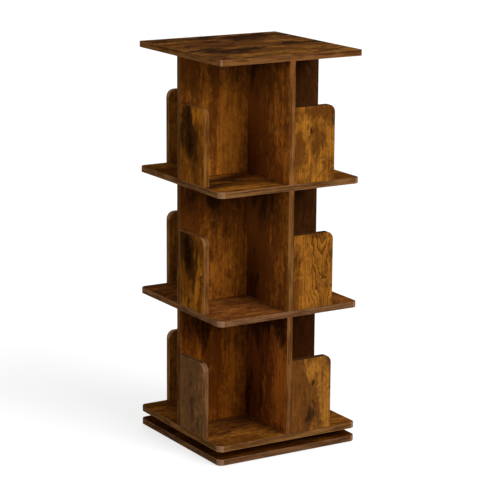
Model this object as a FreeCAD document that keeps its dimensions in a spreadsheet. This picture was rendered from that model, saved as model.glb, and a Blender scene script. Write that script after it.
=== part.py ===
import FreeCAD, Part
import math
import os
import Sketcher
from FreeCAD import Placement, Rotation, Vector

# Driving sizes in millimetres: name, value, what it is
SIZES = (
    ("shelf_side", 400, "side of each square shelf and of the top"),
    ("shelf_thickness", 15, "thickness of the three shelves"),
    ("top_thickness", 15, "thickness of the top panel"),
    ("shelf_corner_radius", 15, "rounding of the shelves' and base's corners in plan"),
    ("top_corner_radius", 6, "rounding of the top panel's corners in plan"),
    ("edge_round", 0.8, "small rounding along the banded edges"),
    ("tier_height", 300, "clear height of each tier"),
    ("upright_thickness", 15, "thickness of the full-height uprights"),
    ("divider_thickness", 15, "thickness of the half-height dividers"),
    ("divider_length", 115, "how far a divider stands out from its upright"),
    ("divider_height", 188, "height of a divider above its shelf"),
    ("divider_radius", 20, "rounding of a divider's free top corner"),
    ("base_side", 400, "side of the square base panel"),
    ("base_thickness", 15, "thickness of the base panel"),
    ("pad_thickness", 2, "thickness of a foot pad"),
    ("pad_radius", 14, "radius of a foot pad"),
    ("pad_bevel", 0.5, "bevel round a foot pad's underside"),
    ("pad_inset", 32, "from the base's side to a pad's centre"),
    ("swivel_height", 19.5, "from the base panel to the bottom shelf"),
    ("swivel_side", 200, "side of a square swivel plate"),
    ("swivel_corner_radius", 14, "rounding of a swivel plate's corners"),
    ("sheet_thickness", 1.5, "steel sheet of the swivel plates"),
    ("ball_radius", 4, "radius of a bearing ball"),
    ("ring_margin", 10, "from a swivel plate's side to its pressed ring"),
    ("track_clearance", 0.1, "between a ball and its pressed track"),
    ("race_gap", 5, "between the two pressed rings"),
    ("race_half_width", 9, "half the flat width of a pressed ring"),
    ("race_flank", 6, "radial run of a pressed ring's slope"),
    ("boss_radius", 18, "radius of the plates' centre boss"),
    ("boss_flank", 9, "radial run of the centre boss's slope"),
    ("boss_gap", 0.3, "between the two centre bosses"),
    ("rivet_radius", 6, "outer radius of the tubular pivot rivet"),
    ("rivet_bore_radius", 4.5, "bore radius of the pivot rivet"),
    ("rivet_head_radius", 10, "radius of the rivet's rolled heads"),
    ("rivet_head_thickness", 1.5, "thickness of the rivet's rolled heads"),
    ("rivet_clearance", 0.05, "radial, between rivet and plates"),
    ("rivet_play", 0.1, "axial, under the rivet's upper head"),
    ("cage_thickness", 2, "thickness of the ball cage"),
    ("cage_half_width", 6, "half the radial width of the ball cage"),
    ("cage_clearance", 0.15, "between a ball and its pocket"),
    ("screw_inset", 12, "from a swivel plate's side to a screw"),
    ("screw_radius", 2, "radius of a swivel screw"),
    ("screw_length", 12, "length of a swivel screw under its head"),
    ("screw_tip", 2.5, "length of a swivel screw's point"),
    ("screw_head_radius", 4, "radius of a swivel screw's head"),
    ("screw_head_height", 2.4, "height of a swivel screw's head"),
    ("screw_recess_radius", 1.6, "radius of the drive recess in a screw's head"),
    ("screw_recess_depth", 1.4, "depth of the drive recess in a screw's head"),
    ("screw_hole_clearance", 0.3, "radial, around a screw in its plate"),
    ("access_hole_radius", 9, "hole in the base that a screwdriver goes through"),
    ("fit_clearance", 0.05, "radial, around a fixing in its drilled hole"),
    ("cam_reach", 34, "from a panel's edge to its cam lock's centre"),
    ("cam_pocket_radius", 7.5, "radius of a cam lock's pocket"),
    ("cam_pocket_depth", 12.5, "depth of a cam lock's pocket"),
    ("cam_height", 12, "height of a cam lock"),
    ("cam_socket_radius", 2.5, "radius of the drive socket in a cam lock"),
    ("cam_socket_depth", 2.2, "depth of the drive socket in a cam lock"),
    ("cam_mouth_radius", 3.7, "radius of the mouth that a bolt's head enters"),
    ("cam_mouth_extra", 2.6, "how far the mouth runs past the cam's centre"),
    ("cap_radius", 8.8, "radius of a cam lock's cover cap"),
    ("cap_thickness", 0.8, "thickness of a cover cap"),
    ("cap_bevel", 0.4, "bevel round a cover cap"),
    ("cap_stub_radius", 2.4, "radius of the stub under a cover cap"),
    ("cap_stub_length", 2.3, "length of the stub under a cover cap"),
    ("bolt_hole_radius", 4, "radius of a bolt's hole in a panel's edge"),
    ("bolt_radius", 3.5, "radius of a connecting bolt's shank"),
    ("bolt_shank", 14, "length of the shank inside a panel's edge"),
    ("bolt_neck_radius", 2, "radius of a connecting bolt's neck"),
    ("bolt_head_half", 2, "half the length of a connecting bolt's head"),
    ("bolt_thread_radius", 2.5, "radius of a connecting bolt's thread"),
    ("bolt_thread_length", 11, "depth that the thread enters a panel"),
    ("bolt_arm", 115, "from the turning axis to the uprights' bolts"),
    ("dowel_radius", 4, "radius of a wood dowel"),
    ("dowel_bevel", 1, "bevel of a dowel's ends"),
    ("dowel_seat", 10, "depth of a dowel in a panel's face"),
    ("dowel_reach", 20, "depth of a dowel in a panel's edge"),
    ("dowel_slack", 0.5, "spare depth under a dowel"),
    ("dowel_arm_near", 45, "from the turning axis to the inner dowels"),
    ("dowel_arm_far", 172, "from the turning axis to the outer dowels"),
    ("cross_bolt_inset", 100, "from a tier's floor or ceiling to the bolt through its cross"),
    ("cross_dowel_inset", 50, "from a tier's floor or ceiling to the dowel through its cross"),
    ("divider_bolt_rise", 55, "height of a divider's lower bolt"),
    ("divider_bolt_drop", 48, "from a divider's top down to its upper bolt"),
    ("divider_dowel_rise", 26, "height of a divider's lower dowel"),
    ("divider_dowel_drop", 24, "from a divider's top down to its upper dowel"),
    ("divider_foot_near", 45, "from the axis to a divider's near foot dowel"),
    ("divider_foot_far", 98, "from the axis to a divider's far foot dowel"),
)
BALL_COUNT = 30
QUARTER = 90
TINY = 1e-6

doc = FreeCAD.newDocument("RotatingBookcase")
sheet = doc.addObject("Spreadsheet::Sheet", "Sizes")
for row, (name, number, note) in enumerate(SIZES, 1):
    sheet.set("A%d" % row, name)
    sheet.set("B%d" % row, str(number))
    sheet.set("C%d" % row, note)
    sheet.setAlias("B%d" % row, name)
doc.recompute()


class Size:
    """A length worked out from the sheet: the formula that binds it, and its number now."""

    def __init__(self, text, number):
        self.text = text
        self.number = number

    def joined(self, sign, other, number):
        text = other.text if isinstance(other, Size) else str(other)
        return Size("(%s %s %s)" % (self.text, sign, text), number)

    def __add__(self, other):
        return self.joined("+", other, self.number + plain(other))

    def __sub__(self, other):
        return self.joined("-", other, self.number - plain(other))

    def __mul__(self, other):
        return self.joined("*", other, self.number * plain(other))

    def __truediv__(self, other):
        return self.joined("/", other, self.number / plain(other))

    def __neg__(self):
        return Size("(-%s)" % self.text, -self.number)


def plain(value):
    """The number of a Size, or of a plain count or share."""
    return value.number if isinstance(value, Size) else value


class Sheet:
    """The sheet's sizes, each under its own name."""


size = Sheet()
for name, number, note in SIZES:
    setattr(size, name, Size("Sizes." + name, float(sheet.get(name))))
ZERO = Size("0", 0.0)


def bind(thing, prop, length):
    thing.setExpression(prop, length.text)


def on_circle(radius, degrees):
    """The two plan coordinates of a place on a circle about the turning axis."""
    angle = math.radians(degrees)
    return (
        Size("(%s * cos(%g deg))" % (radius.text, degrees), radius.number * math.cos(angle)),
        Size("(%s * sin(%g deg))" % (radius.text, degrees), radius.number * math.sin(angle)),
    )


# Features that every piece is made from
def new_body(label):
    body = doc.addObject("PartDesign::Body", "Body_" + label)
    body.Label = label
    return body


def new_sketch(body, role, level):
    """A sketch parallel to one of the body's own origin planes, at a level along its normal axis."""
    plane = [item for item in body.Origin.OriginFeatures if item.Role == role][0]
    sketch = body.newObject("Sketcher::SketchObject", "Sketch")
    sketch.AttachmentSupport = [(plane, "")]
    sketch.MapMode = "FlatFace"
    bind(sketch, "AttachmentOffset.Base.z", -level if role == "XZ_Plane" else level)
    return sketch


def pin(sketch, item, end, across, along):
    """Ties one point of a sketch to its two coordinates; None leaves a coordinate free."""
    for kind, axis, length in (("DistanceX", -2, across), ("DistanceY", -1, along)):
        if length is None:
            continue
        if length is ZERO:
            sketch.addConstraint(Sketcher.Constraint("PointOnObject", item, end, axis))
        else:
            rule = Sketcher.Constraint(kind, -1, 1, item, end, length.number)
            bind(sketch, "Constraints[%d]" % sketch.addConstraint(rule), length)


def outline(sketch, corners):
    """A closed run of straight lines through corners, each a pair of Sizes."""
    first = sketch.GeometryCount
    spots = [Vector(plain(x), plain(y), 0) for x, y in corners]
    for start, end in zip(spots, spots[1:] + spots[:1]):
        sketch.addGeometry(Part.LineSegment(start, end))
    count = len(spots)
    for step in range(count):
        here, following = first + step, first + (step + 1) % count
        sketch.addConstraint(Sketcher.Constraint("Coincident", here, 2, following, 1))
    for step, (x, y) in enumerate(corners):
        pin(sketch, first + step, 1, x, y)


def circle(sketch, x, y, radius):
    centre = Vector(plain(x), plain(y), 0)
    item = sketch.addGeometry(Part.Circle(centre, Vector(0, 0, 1), radius.number))
    pin(sketch, item, 3, x, y)
    rule = Sketcher.Constraint("Radius", item, radius.number)
    bind(sketch, "Constraints[%d]" % sketch.addConstraint(rule), radius)


def rectangle(sketch, low_x, low_y, high_x, high_y):
    outline(sketch, [(low_x, low_y), (high_x, low_y), (high_x, high_y), (low_x, high_y)])


def pad(body, sketch, length, backwards=False):
    feature = body.newObject("PartDesign::Pad", "Pad")
    feature.Profile = sketch
    bind(feature, "Length", length)
    feature.Reversed = backwards
    doc.recompute()
    return feature


def soften(body, base, radius, wanted):
    """Rounds the edges of a feature that the test picks out."""
    names = ["Edge%d" % (n + 1) for n, edge in enumerate(base.Shape.Edges) if wanted(edge)]
    feature = body.newObject("PartDesign::Fillet", "Round")
    feature.Base = (base, names)
    bind(feature, "Radius", radius)
    doc.recompute()
    return feature


def turn(body, corners):
    """A turned body: a profile of radius and height pairs, carried round the body's Z axis."""
    sketch = new_sketch(body, "XZ_Plane", ZERO)
    outline(sketch, corners)
    feature = body.newObject("PartDesign::Revolution", "Turned")
    feature.Profile = sketch
    feature.ReferenceAxis = (sketch, ["V_Axis"])
    doc.recompute()
    return feature


def drill(body, role, level, towards, radius, depth, spots):
    """Round holes from a level of an origin plane, cut along its axis, towards +1 or -1."""
    before = body.Shape.Volume
    sketch = new_sketch(body, role, level)
    for x, y in spots:
        circle(sketch, x, y, radius)
    feature = body.newObject("PartDesign::Pocket", "Drilled")
    feature.Profile = sketch
    bind(feature, "Length", depth)
    along_normal = towards < 0 if role == "XZ_Plane" else towards > 0
    feature.Reversed = along_normal
    doc.recompute()
    if body.Shape.Volume > before - TINY:
        raise RuntimeError("a hole in %s cuts nothing" % body.Label)
    return feature


def upright_edge(edge):
    """True for a straight edge that runs up and down."""
    box = edge.BoundBox
    return box.XLength < TINY and box.YLength < TINY


def level_edge(edge):
    return edge.BoundBox.ZLength < TINY


def copies(label, batches):
    """One sub-part made of separate copies: each batch is a template body and its places."""
    links = []
    for template, places in batches:
        for spot, rotation in places:
            link = doc.addObject("App::Link", "Copy")
            link.LinkedObject = template
            link.Placement = Placement(Vector(*[plain(value) for value in spot]), rotation)
            for axis, value in zip("xyz", spot):
                bind(link, "Placement.Base." + axis, value)
            links.append(link)
    group = doc.addObject("Part::Compound", "Group_" + label)
    group.Links = links
    group.Label = label
    return group


def about_z(degrees):
    return Rotation(Vector(0, 0, 1), degrees)


def quarter_turns(x, y):
    """A plan place and its three copies, a quarter turn apart."""
    return [(x, y), (-y, x), (-x, -y), (y, -x)]


def turned_spot(x, y, degrees):
    """A plan place turned about the axis by a whole number of quarter turns."""
    return quarter_turns(x, y)[degrees // QUARTER % 4]


# Levels, from the floor up
base_bottom = size.pad_thickness
base_top = base_bottom + size.base_thickness
tier_pitch = size.shelf_thickness + size.tier_height
shelf_bottoms = [base_top + size.swivel_height]
for tier in range(3):
    shelf_bottoms.append(shelf_bottoms[-1] + tier_pitch)
tier_floors = [level + size.shelf_thickness for level in shelf_bottoms[:3]]
tier_ceilings = shelf_bottoms[1:]

# Places that several pieces share
half_side = size.shelf_side / 2
half_upright = size.upright_thickness / 2
half_divider = size.divider_thickness / 2
divider_line = half_side - half_divider
divider_tip = half_upright + size.divider_length
screw_spot = size.swivel_side / 2 - size.screw_inset
screw_pilot = size.screw_radius + size.fit_clearance
screw_bite = size.screw_length - size.sheet_thickness
dowel_hole = size.dowel_radius + size.fit_clearance
dowel_edge_depth = size.dowel_reach + size.dowel_slack
thread_hole = size.bolt_thread_radius + size.fit_clearance
shank_hole = size.bolt_radius + size.fit_clearance
bolt_spots = quarter_turns(size.bolt_arm, ZERO)
dowel_spots = quarter_turns(size.dowel_arm_near, ZERO) + quarter_turns(size.dowel_arm_far, ZERO)
foot_spots = quarter_turns(size.divider_foot_near, -divider_line)
foot_spots += quarter_turns(size.divider_foot_far, -divider_line)
screw_spots = quarter_turns(screw_spot, screw_spot)
ring_half_width = size.race_half_width + size.race_flank
ball_ring = size.swivel_side / 2 - size.ring_margin - ring_half_width
cross_bolts = (size.cross_bolt_inset, size.tier_height - size.cross_bolt_inset)
cross_dowels = (size.cross_dowel_inset, size.tier_height - size.cross_dowel_inset)
divider_bolts = (size.divider_bolt_rise, size.divider_height - size.divider_bolt_drop)
divider_dowels = (size.divider_dowel_rise, size.divider_height - size.divider_dowel_drop)


# Square panels
def square_panel(label, side, thickness, corner_radius, bottom):
    """A square board with rounded corners and softly rounded banded edges."""
    body = new_body(label)
    sketch = new_sketch(body, "XY_Plane", ZERO)
    rectangle(sketch, -side / 2, -side / 2, side / 2, side / 2)
    board = pad(body, sketch, thickness)
    board = soften(body, board, corner_radius, upright_edge)
    soften(body, board, size.edge_round, level_edge)
    bind(body, "Placement.Base.z", bottom)
    return body


def deck_holes(body):
    """Blind holes in a shelf's upper face for the feet of the four dividers."""
    top = size.shelf_thickness
    drill(body, "XY_Plane", top, -1, dowel_hole, size.dowel_seat, foot_spots)


def make_base():
    body = square_panel(
        "base_panel", size.base_side, size.base_thickness, size.shelf_corner_radius, base_bottom
    )
    top = size.base_thickness
    drill(body, "XY_Plane", top, -1, screw_pilot, screw_bite, screw_spots)
    access = screw_spot * math.sqrt(2)
    drill(body, "XY_Plane", top, -1, size.access_hole_radius, top, [(access, ZERO)])
    return body


def make_bottom_shelf():
    body = square_panel(
        "bottom_shelf", size.shelf_side, size.shelf_thickness, size.shelf_corner_radius, shelf_bottoms[0]
    )
    top = size.shelf_thickness
    drill(body, "XY_Plane", ZERO, 1, screw_pilot, screw_bite, screw_spots)
    drill(body, "XY_Plane", top, -1, thread_hole, size.bolt_thread_length, bolt_spots)
    drill(body, "XY_Plane", top, -1, dowel_hole, size.dowel_seat, dowel_spots)
    deck_holes(body)
    return body


def make_middle_shelf(label, bottom):
    body = square_panel(
        label, size.shelf_side, size.shelf_thickness, size.shelf_corner_radius, bottom
    )
    top = size.shelf_thickness
    drill(body, "XY_Plane", top, -1, shank_hole, top, bolt_spots)
    drill(body, "XY_Plane", top, -1, dowel_hole, top, dowel_spots)
    deck_holes(body)
    return body


def make_top_panel():
    body = square_panel(
        "top_panel", size.shelf_side, size.top_thickness, size.top_corner_radius, shelf_bottoms[3]
    )
    drill(body, "XY_Plane", ZERO, 1, thread_hole, size.bolt_thread_length, bolt_spots)
    drill(body, "XY_Plane", ZERO, 1, dowel_hole, size.dowel_seat, dowel_spots)
    return body


# Uprights
def edge_holes(body, role, level, towards, bolts, dowels):
    """Bolt and dowel holes in one narrow edge of a board."""
    drill(body, role, level, towards, size.bolt_hole_radius, size.cam_reach, bolts)
    drill(body, role, level, towards, dowel_hole, dowel_edge_depth, dowels)


def make_long_upright(label, floor):
    """The upright that runs the full width, with the two short ones against its faces."""
    body = new_body(label)
    height = size.tier_height
    sketch = new_sketch(body, "XY_Plane", ZERO)
    rectangle(sketch, -half_side, -half_upright, half_side, half_upright)
    board = pad(body, sketch, height)
    soften(body, board, size.edge_round, upright_edge)
    bolts = [(size.bolt_arm, ZERO), (-size.bolt_arm, ZERO)]
    dowels = [(arm, ZERO) for arm in (size.dowel_arm_near, size.dowel_arm_far)]
    dowels += [(-arm, ZERO) for arm, _ in dowels]
    edge_holes(body, "XY_Plane", ZERO, 1, bolts, dowels)
    edge_holes(body, "XY_Plane", height, -1, bolts, dowels)
    cams = [(x, z) for x, _ in bolts for z in (size.cam_reach, height - size.cam_reach)]
    drill(body, "XZ_Plane", half_upright, -1, size.cam_pocket_radius, size.cam_pocket_depth, cams)
    through = [(ZERO, height) for height in cross_bolts]
    drill(body, "XZ_Plane", half_upright, -1, shank_hole, size.upright_thickness, through)
    through = [(ZERO, height) for height in cross_dowels]
    drill(body, "XZ_Plane", half_upright, -1, dowel_hole, size.upright_thickness, through)
    for side, towards in ((-1, 1), (1, -1)):
        divider_joint_holes(body, "XZ_Plane", half_upright * side, towards, divider_line * side)
    bind(body, "Placement.Base.z", floor)
    return body


def divider_joint_holes(body, role, level, towards, line):
    """Blind thread and dowel holes in an upright's face, where a divider butts against it."""
    bolts = [(line, height) for height in divider_bolts]
    dowels = [(line, height) for height in divider_dowels]
    drill(body, role, level, towards, thread_hole, size.bolt_thread_length, bolts)
    drill(body, role, level, towards, dowel_hole, size.dowel_seat, dowels)


def make_short_upright(label, floor, degrees):
    """An upright from the long one's face to the shelf's edge, made at the front and turned."""
    body = new_body(label)
    height = size.tier_height
    sketch = new_sketch(body, "XY_Plane", ZERO)
    rectangle(sketch, -half_upright, -half_side, half_upright, -half_upright)
    board = pad(body, sketch, height)
    front = -half_side.number
    soften(
        body, board, size.edge_round,
        lambda edge: upright_edge(edge) and edge.BoundBox.YMin < front + TINY,
    )
    bolts = [(ZERO, -size.bolt_arm)]
    dowels = [(ZERO, -size.dowel_arm_near), (ZERO, -size.dowel_arm_far)]
    edge_holes(body, "XY_Plane", ZERO, 1, bolts, dowels)
    edge_holes(body, "XY_Plane", height, -1, bolts, dowels)
    bolts = [(ZERO, level) for level in cross_bolts]
    dowels = [(ZERO, level) for level in cross_dowels]
    edge_holes(body, "XZ_Plane", -half_upright, -1, bolts, dowels)
    inner = -half_upright - size.cam_reach
    cams = [(-size.bolt_arm, size.cam_reach), (-size.bolt_arm, height - size.cam_reach)]
    cams += [(inner, level) for level in cross_bolts]
    drill(body, "YZ_Plane", half_upright, -1, size.cam_pocket_radius, size.cam_pocket_depth, cams)
    divider_joint_holes(body, "YZ_Plane", half_upright, -1, -divider_line)
    body.Placement = Placement(Vector(0, 0, 0), about_z(degrees))
    bind(body, "Placement.Base.z", floor)
    return body


# Half-height dividers
def make_divider(label, floor, degrees):
    """A divider that butts against an upright's end, made at the front and turned."""
    body = new_body(label)
    height = size.divider_height
    sketch = new_sketch(body, "XZ_Plane", -half_side)
    rectangle(sketch, half_upright, ZERO, divider_tip, height)
    board = pad(body, sketch, size.divider_thickness, backwards=True)
    tip, top = divider_tip.number, height.number

    def free_corner(edge):
        box = edge.BoundBox
        return box.XMin > tip - TINY and box.ZMin > top - TINY and box.YLength > TINY

    def free_outline(edge):
        box = edge.BoundBox
        return box.YLength < TINY and (box.XMin > tip - TINY or box.ZMax > top - TINY) and (
            box.ZLength < TINY or box.XMax > tip - TINY
        )

    board = soften(body, board, size.divider_radius, free_corner)
    soften(body, board, size.edge_round, free_outline)
    across = -divider_line
    bolts = [(across, level) for level in divider_bolts]
    dowels = [(across, level) for level in divider_dowels]
    edge_holes(body, "YZ_Plane", half_upright, 1, bolts, dowels)
    feet = [(size.divider_foot_near, across), (size.divider_foot_far, across)]
    drill(body, "XY_Plane", ZERO, 1, dowel_hole, dowel_edge_depth, feet)
    inner = size.divider_thickness - half_side
    cam_line = half_upright + size.cam_reach
    cams = [(cam_line, level) for level in divider_bolts]
    drill(body, "XZ_Plane", inner, -1, size.cam_pocket_radius, size.cam_pocket_depth, cams)
    body.Placement = Placement(Vector(0, 0, 0), about_z(degrees))
    bind(body, "Placement.Base.z", floor)
    return body


# Swivel bearing
def make_swivel_plate(label, level, flip):
    """A square steel plate with a pressed ball track and a centre boss, made facing up."""
    body = new_body(label)
    half = size.swivel_side / 2
    sheet_top = size.sheet_thickness
    middle = size.swivel_height / 2
    race_top = middle - size.race_gap / 2
    boss_top = middle - size.boss_gap / 2
    groove = size.ball_radius + size.track_clearance
    rim = ball_ring + ring_half_width
    hole = size.rivet_radius + size.rivet_clearance

    sketch = new_sketch(body, "XY_Plane", ZERO)
    rectangle(sketch, -half, -half, half, half)
    circle(sketch, ZERO, ZERO, rim)
    flange = pad(body, sketch, sheet_top)
    rim_number = rim.number
    soften(
        body, flange, size.swivel_corner_radius,
        lambda edge: upright_edge(edge) and edge.BoundBox.XMax ** 2 > rim_number ** 2 / 2,
    )

    # The pressed section: upper side outwards, then the under side back, one sheet lower
    sketch = new_sketch(body, "XZ_Plane", ZERO)
    upper = [
        (hole, boss_top),
        (size.boss_radius, boss_top),
        (size.boss_radius + size.boss_flank, sheet_top),
        (ball_ring - ring_half_width, sheet_top),
        (ball_ring - size.race_half_width, race_top),
        "track",
        (ball_ring + size.race_half_width, race_top),
        (rim, sheet_top),
    ]
    add_section(sketch, upper, middle, groove, race_top)
    feature = body.newObject("PartDesign::Revolution", "Pressing")
    feature.Profile = sketch
    feature.ReferenceAxis = (sketch, ["V_Axis"])
    doc.recompute()
    clear = size.screw_radius + size.screw_hole_clearance
    drill(body, "XY_Plane", sheet_top, -1, clear, sheet_top, screw_spots)
    spin = Rotation(Vector(1, 0, 0), 180) if flip else Rotation()
    body.Placement = Placement(Vector(0, 0, 0), spin)
    bind(body, "Placement.Base.z", level)
    return body


def add_section(sketch, upper, middle, groove, race_top):
    """Draws the closed pressed section; the ball track is an arc about the balls' centres."""
    sheet_metal = size.sheet_thickness
    under = [item if item == "track" else (item[0], item[1] - sheet_metal) for item in upper]
    runs = [(upper, race_top, groove), (under[::-1], race_top - sheet_metal, groove + sheet_metal)]
    loop = []
    for points, height, radius in runs:
        half_chord = math.sqrt(radius.number ** 2 - (middle.number - height.number) ** 2)
        forwards = points is upper
        for item in points:
            if item == "track":
                side = -1 if forwards else 1
                loop.append(("lip", side * half_chord, height, radius))
                loop.append(("arc end", -side * half_chord, height, radius))
            else:
                loop.append(("corner", item[0], item[1], None))
    count = len(loop)
    spots = []
    for kind, x, y, radius in loop:
        across = x.number if kind == "corner" else ball_ring.number + x
        spots.append(Vector(across, y.number, 0))
    for step, (kind, x, y, radius) in enumerate(loop):
        start, end = spots[step], spots[(step + 1) % count]
        if kind == "lip":
            left, right = sorted((start, end), key=lambda spot: spot.x)
            low = Vector(ball_ring.number, middle.number - radius.number, 0)
            sketch.addGeometry(Part.Arc(left, low, right))
        else:
            sketch.addGeometry(Part.LineSegment(start, end))
    for step in range(count):
        here, following = step, (step + 1) % count
        ends = [near_end(sketch, item, spots[following]) for item in (here, following)]
        rule = Sketcher.Constraint("Coincident", here, ends[0], following, ends[1])
        sketch.addConstraint(rule)
    for step, (kind, x, y, radius) in enumerate(loop):
        end = near_end(sketch, step, spots[step])
        pin(sketch, step, end, x if kind == "corner" else None, y)
        if kind == "lip":
            pin(sketch, step, 3, ball_ring, middle)
            rule = Sketcher.Constraint("Radius", step, radius.number)
            bind(sketch, "Constraints[%d]" % sketch.addConstraint(rule), radius)


def near_end(sketch, item, spot):
    """Which end of a line or arc lies at a spot: 1 for its start, 2 for its end."""
    shape = sketch.Geometry[item]
    return 1 if (shape.StartPoint - spot).Length < (shape.EndPoint - spot).Length else 2


def make_cage():
    """The flat ring that spaces the balls."""
    body = new_body("swivel_ball_cage")
    sketch = new_sketch(body, "XY_Plane", ZERO)
    circle(sketch, ZERO, ZERO, ball_ring + size.cage_half_width)
    circle(sketch, ZERO, ZERO, ball_ring - size.cage_half_width)
    pad(body, sketch, size.cage_thickness)
    pocket = size.ball_radius + size.cage_clearance
    one = drill(
        body, "XY_Plane", size.cage_thickness, -1, pocket, size.cage_thickness, [(ball_ring, ZERO)]
    )
    pattern = body.newObject("PartDesign::PolarPattern", "Pockets")
    pattern.Originals = [one]
    pattern.Axis = (one.Profile[0], ["N_Axis"])
    pattern.Angle = 360
    pattern.Occurrences = BALL_COUNT
    body.Tip = pattern
    doc.recompute()
    bind(body, "Placement.Base.z", base_top + (size.swivel_height - size.cage_thickness) / 2)
    return body


def make_balls():
    """The ring of steel balls between the two pressed tracks."""
    ball = doc.addObject("Part::Sphere", "Ball")
    bind(ball, "Radius", size.ball_radius)
    level = base_top + size.swivel_height / 2
    step = 360 / BALL_COUNT
    places = [(on_circle(ball_ring, step * n) + (level,), Rotation())
              for n in range(BALL_COUNT)]
    return copies("swivel_balls", [(ball, places)])


def make_rivet():
    """The tubular rivet that the upper plate turns on."""
    body = new_body("swivel_pivot_rivet")
    middle = size.swivel_height / 2
    lower_seat = middle - size.boss_gap / 2 - size.sheet_thickness
    upper_seat = middle + size.boss_gap / 2 + size.sheet_thickness + size.rivet_play
    bottom = lower_seat - size.rivet_head_thickness
    top = upper_seat + size.rivet_head_thickness
    turn(body, [
        (size.rivet_bore_radius, bottom),
        (size.rivet_head_radius, bottom),
        (size.rivet_head_radius, lower_seat),
        (size.rivet_radius, lower_seat),
        (size.rivet_radius, upper_seat),
        (size.rivet_head_radius, upper_seat),
        (size.rivet_head_radius, top),
        (size.rivet_bore_radius, top),
    ])
    bind(body, "Placement.Base.z", base_top)
    return body


def make_screw():
    """Template of a pan-head screw, point down, the head's under side at zero."""
    body = new_body("screw_template")
    head_top = size.screw_head_height
    turn(body, [
        (ZERO, -size.screw_length),
        (size.screw_radius, size.screw_tip - size.screw_length),
        (size.screw_radius, ZERO),
        (size.screw_head_radius, ZERO),
        (size.screw_head_radius, head_top / 2),
        (size.screw_head_radius - head_top / 2, head_top),
        (ZERO, head_top),
    ])
    drill(body, "XY_Plane", head_top, -1, size.screw_recess_radius, size.screw_recess_depth, [(ZERO, ZERO)])
    return body


def make_swivel_screws(screw):
    flange = base_top + size.sheet_thickness
    lower = [((x, y, flange), Rotation()) for x, y in screw_spots]
    copies("swivel_lower_screws", [(screw, lower)])
    flange = shelf_bottoms[0] - size.sheet_thickness
    upper = [((x, y, flange), Rotation(Vector(1, 0, 0), 180)) for x, y in screw_spots]
    copies("swivel_upper_screws", [(screw, upper)])


def make_pads():
    """Four round pads that the base stands on."""
    pad_body = new_body("pad_template")
    turn(pad_body, [
        (ZERO, ZERO),
        (size.pad_radius - size.pad_bevel, ZERO),
        (size.pad_radius, size.pad_bevel),
        (size.pad_radius, size.pad_thickness),
        (ZERO, size.pad_thickness),
    ])
    place = size.base_side / 2 - size.pad_inset
    spots = [((x, y, ZERO), Rotation()) for x, y in quarter_turns(place, place)]
    return copies("foot_pads", [(pad_body, spots)])


# Templates of the knock-down fixings
def make_cam():
    """A cam lock: zero is on the bolt's axis, +Z out of the panel's face, +X to its edge."""
    body = new_body("cam_template")
    low = half_upright - size.cam_pocket_depth
    top = low + size.cam_height
    radius = size.cam_pocket_radius - size.fit_clearance
    turn(body, [(ZERO, low), (radius, low), (radius, top), (ZERO, top)])
    drill(body, "XY_Plane", top, -1, size.cam_socket_radius, size.cam_socket_depth, [(ZERO, ZERO)])
    depth = size.cam_mouth_extra + size.cam_pocket_radius
    drill(body, "YZ_Plane", -size.cam_mouth_extra, 1, size.cam_mouth_radius, depth, [(ZERO, ZERO)])
    return body


def make_cap():
    """A cover cap over a cam lock, in the cam lock's own frame."""
    body = new_body("cap_template")
    face = half_upright
    top = face + size.cap_thickness
    low = face - size.cap_stub_length
    turn(body, [
        (ZERO, low),
        (size.cap_stub_radius, low),
        (size.cap_stub_radius, face),
        (size.cap_radius, face),
        (size.cap_radius, top - size.cap_bevel),
        (size.cap_radius - size.cap_bevel, top),
        (ZERO, top),
    ])
    return body


def bolt_end(start):
    """Profile of a connecting bolt's head end, from the panel's edge upwards."""
    head_low = start + size.cam_reach - size.bolt_head_half
    head_high = start + size.cam_reach + size.bolt_head_half
    return [
        (size.bolt_radius, start + size.bolt_shank),
        (size.bolt_neck_radius, start + size.bolt_shank),
        (size.bolt_neck_radius, head_low),
        (size.bolt_radius, head_low),
        (size.bolt_radius, head_high),
        (ZERO, head_high),
    ]


def make_single_bolt():
    """Zero is at the panel's face: the thread goes down into it, the head stands up."""
    body = new_body("single_bolt_template")
    thread = -size.bolt_thread_length
    start = [
        (ZERO, thread),
        (size.bolt_thread_radius, thread),
        (size.bolt_thread_radius, ZERO),
        (size.bolt_radius, ZERO),
    ]
    turn(body, start + bolt_end(ZERO))
    return body


def make_double_bolt(label, thickness):
    """A bolt with a head at each end; zero is at the middle of the panel that it crosses."""
    body = new_body(label)
    upper = bolt_end(thickness / 2)
    lower = [(radius, -height) for radius, height in upper[::-1]]
    turn(body, lower + upper)
    return body


def make_dowel(label, low, high):
    body = new_body(label)
    radius = size.dowel_radius
    tip = radius - size.dowel_bevel
    turn(body, [
        (ZERO, low),
        (tip, low),
        (radius, low + size.dowel_bevel),
        (radius, high - size.dowel_bevel),
        (tip, high),
        (ZERO, high),
    ])
    return body


UP = Rotation()
DOWN = Rotation(Vector(1, 0, 0), 180)
ALONG_Y = Rotation(Vector(1, 0, 0), -90)
ALONG_X = Rotation(Vector(0, 1, 0), 90)


def facing(normal, edge):
    """The rotation that takes a cam's +Z to a face's normal and its +X towards an edge."""
    across = normal.cross(edge)
    return Rotation(edge, across, normal, "ZXY")


X, Y, Z = Vector(1, 0, 0), Vector(0, 1, 0), Vector(0, 0, 1)


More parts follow.
